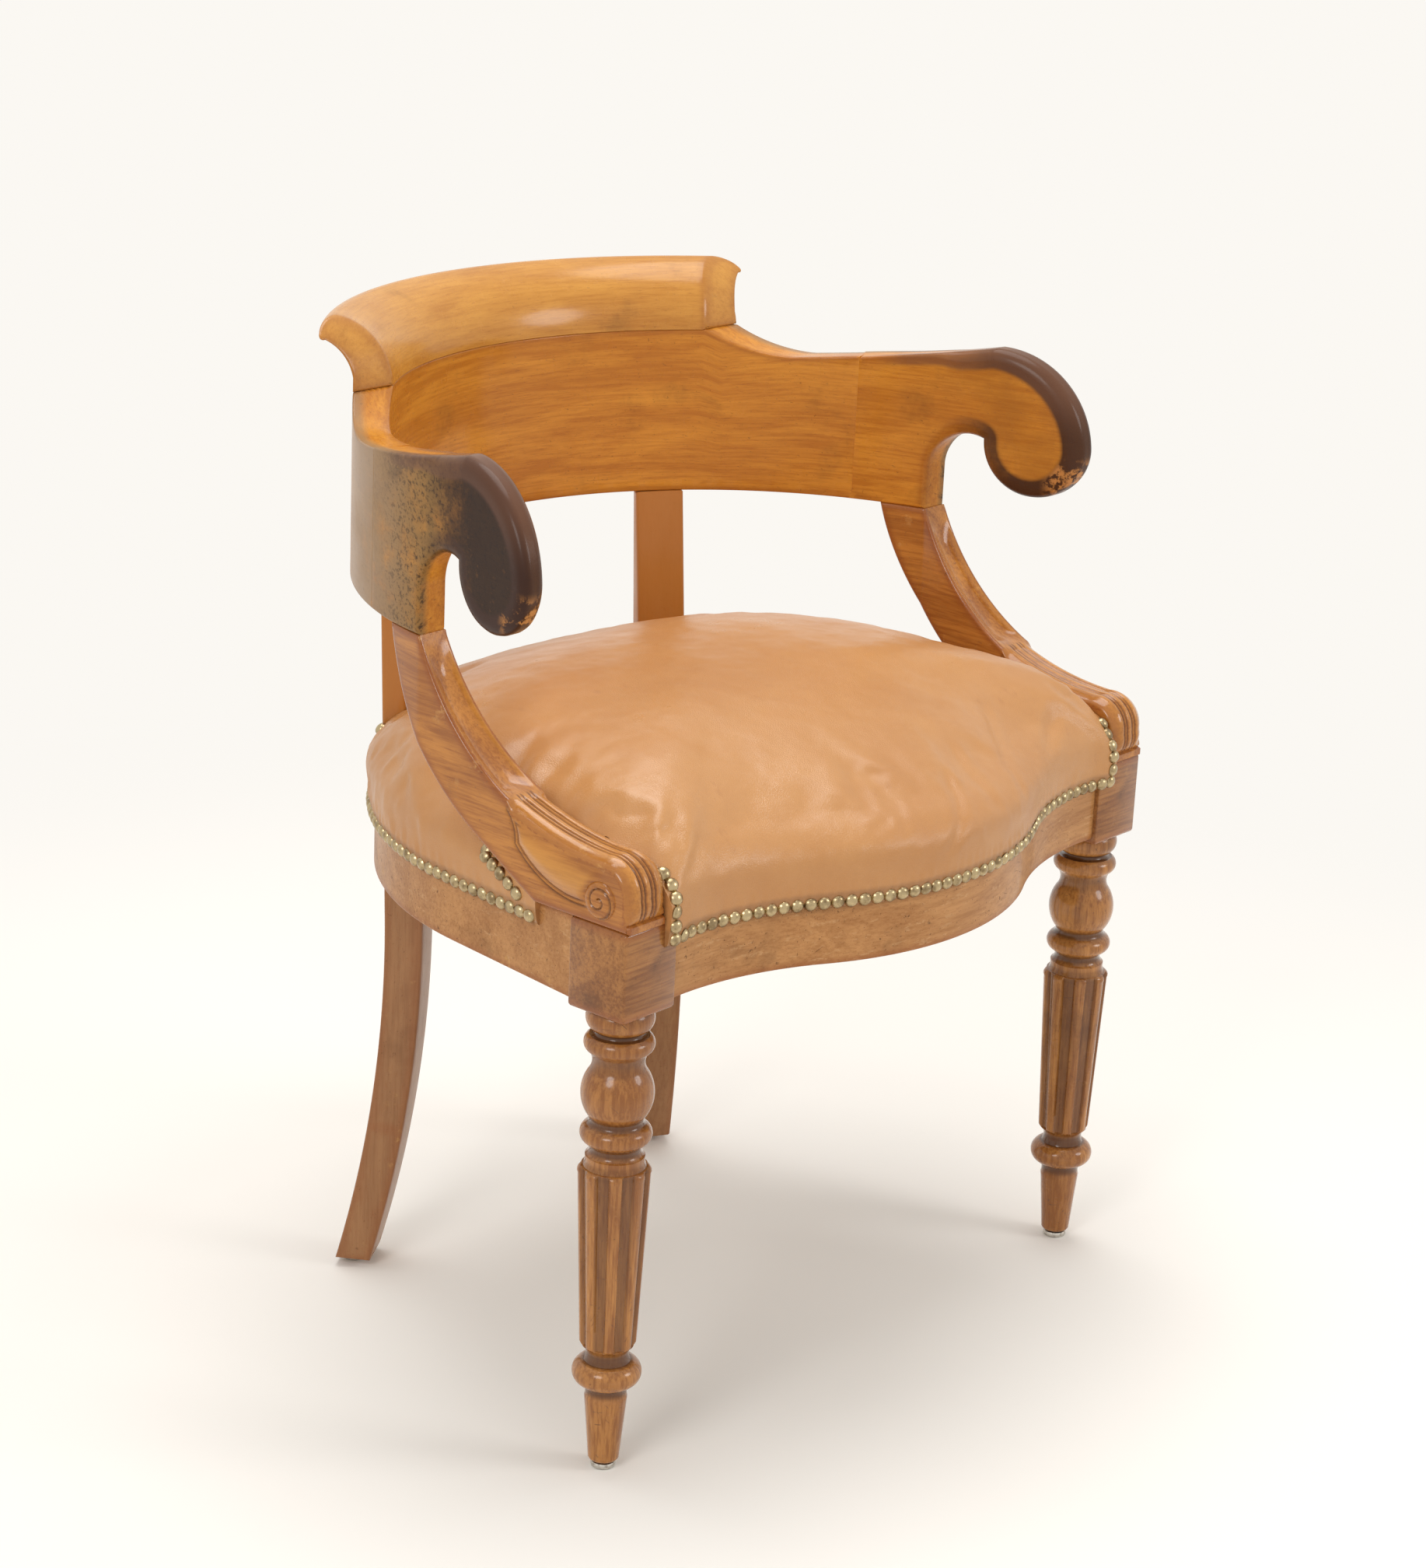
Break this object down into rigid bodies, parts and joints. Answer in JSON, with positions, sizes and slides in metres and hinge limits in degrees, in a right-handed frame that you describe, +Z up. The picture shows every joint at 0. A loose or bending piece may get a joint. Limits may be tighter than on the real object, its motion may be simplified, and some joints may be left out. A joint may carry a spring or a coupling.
{
  "type": "gondola desk chair",
  "caption": "Wooden tub armchair with a curved back, scrolled arms on carved supports, turned reeded front legs, sabre rear legs and a domed leather seat.",
  "frame": {"origin": "on the floor, under the middle of the chair's overall length and width", "axes": "+Z up, the sitter faces -Y, +X is the sitter's left"},
  "size_m": [0.6576, 0.5473, 0.7765],
  "materials": {
    "varnished_wood": "worn varnish",
    "joint_wood": "bare",
    "leather": "satin",
    "aged_brass": "tarnished",
    "nickel": "dull",
    "webbing": "woven",
    "hessian": "woven",
    "stuffing": "matted hair"
  },
  "bodies": {
    "root": {"crest_rail": "varnished_wood", "back_band": "varnished_wood", "right_arm": "varnished_wood", "left_arm": "varnished_wood", "right_arm_support": "varnished_wood", "left_arm_support": "varnished_wood", "right_front_leg": "varnished_wood", "left_front_leg": "varnished_wood", "right_rear_leg": "varnished_wood", "left_rear_leg": "varnished_wood", "front_rail": "varnished_wood", "right_side_rail": "varnished_wood", "left_side_rail": "varnished_wood", "back_rail": "varnished_wood", "crest_tongues": "joint_wood", "arm_tongues": "joint_wood", "support_tongues": "joint_wood", "front_nails": "aged_brass", "right_side_nails": "aged_brass", "left_side_nails": "aged_brass", "back_nails": "aged_brass", "right_support_nails": "aged_brass", "left_support_nails": "aged_brass", "foot_glides": "nickel", "webbing_lengthwise": "webbing", "webbing_across": "webbing", "seat_hessian": "hessian", "seat_stuffing": "stuffing", "seat_leather": "leather"}
  },
  "joints": []
}
